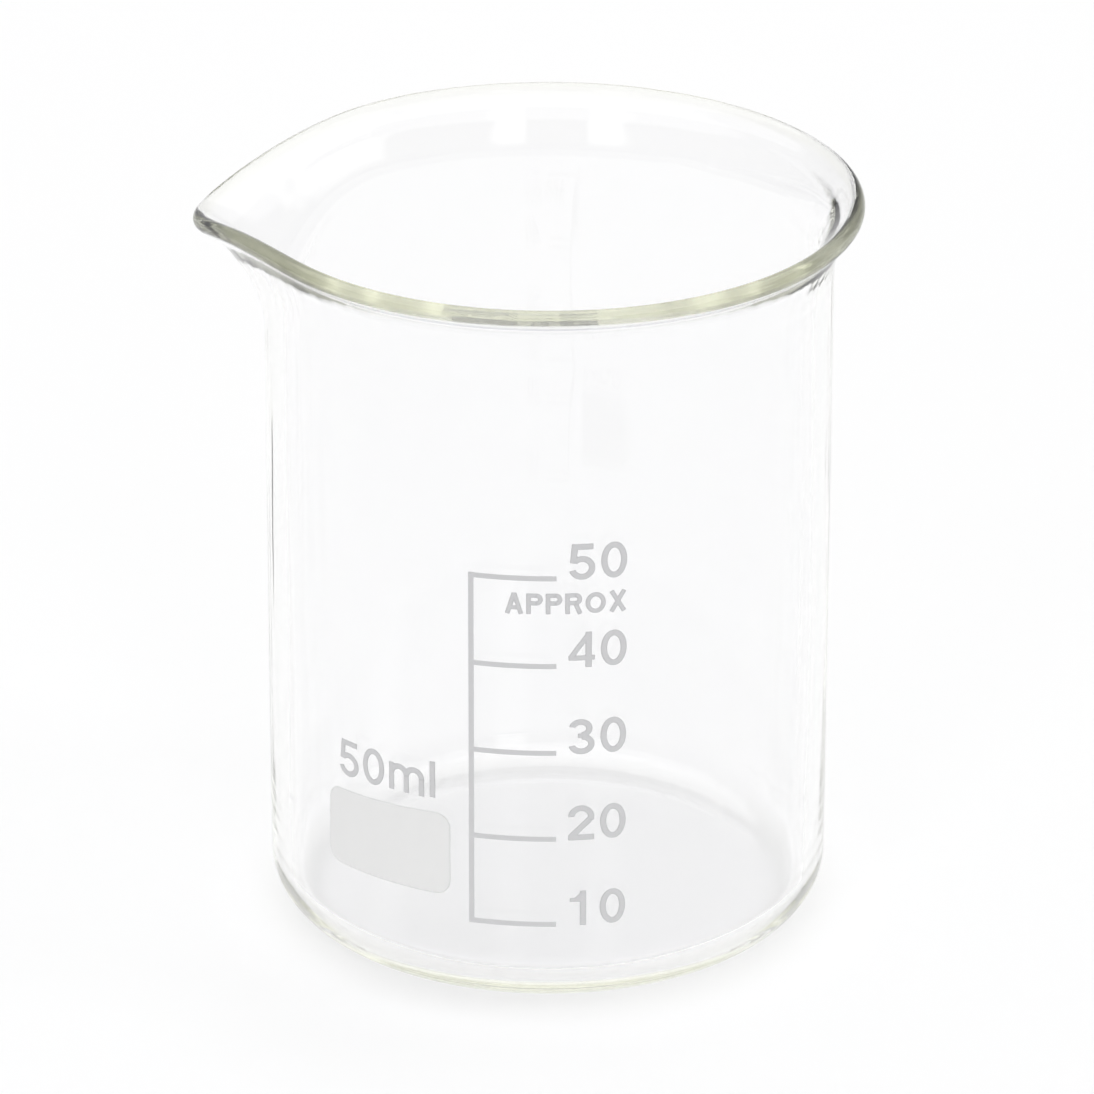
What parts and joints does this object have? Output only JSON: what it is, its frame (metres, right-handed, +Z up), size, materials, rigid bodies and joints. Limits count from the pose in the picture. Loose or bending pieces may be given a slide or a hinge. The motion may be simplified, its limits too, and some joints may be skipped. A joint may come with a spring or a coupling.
{
  "type": "laboratory beaker",
  "caption": "Low-form borosilicate glass beaker with flared lip, pouring spout and fired-on white graduation scale; holds, mixes and pours liquids.",
  "frame": {"origin": "centre of the base's flat underside, on the axis of the straight wall", "axes": "+Z up along the vessel's axis; the pouring spout points along -X; the graduation scale faces -Y"},
  "size_m": [0.0526, 0.049, 0.06],
  "materials": {
    "glass": "clear drawn borosilicate glass, fire-polished lip",
    "enamel": "fired-on white enamel print",
    "patch_enamel": "fired-on matt enamel patch that takes a pencil"
  },
  "bodies": {
    "root": {"glass_vessel": "glass", "graduation_scale": "enamel", "numeral_10": "enamel", "numeral_20": "enamel", "numeral_30": "enamel", "numeral_40": "enamel", "numeral_50": "enamel", "approx_word": "enamel", "capacity_mark": "enamel", "marking_patch": "patch_enamel"}
  },
  "joints": []
}
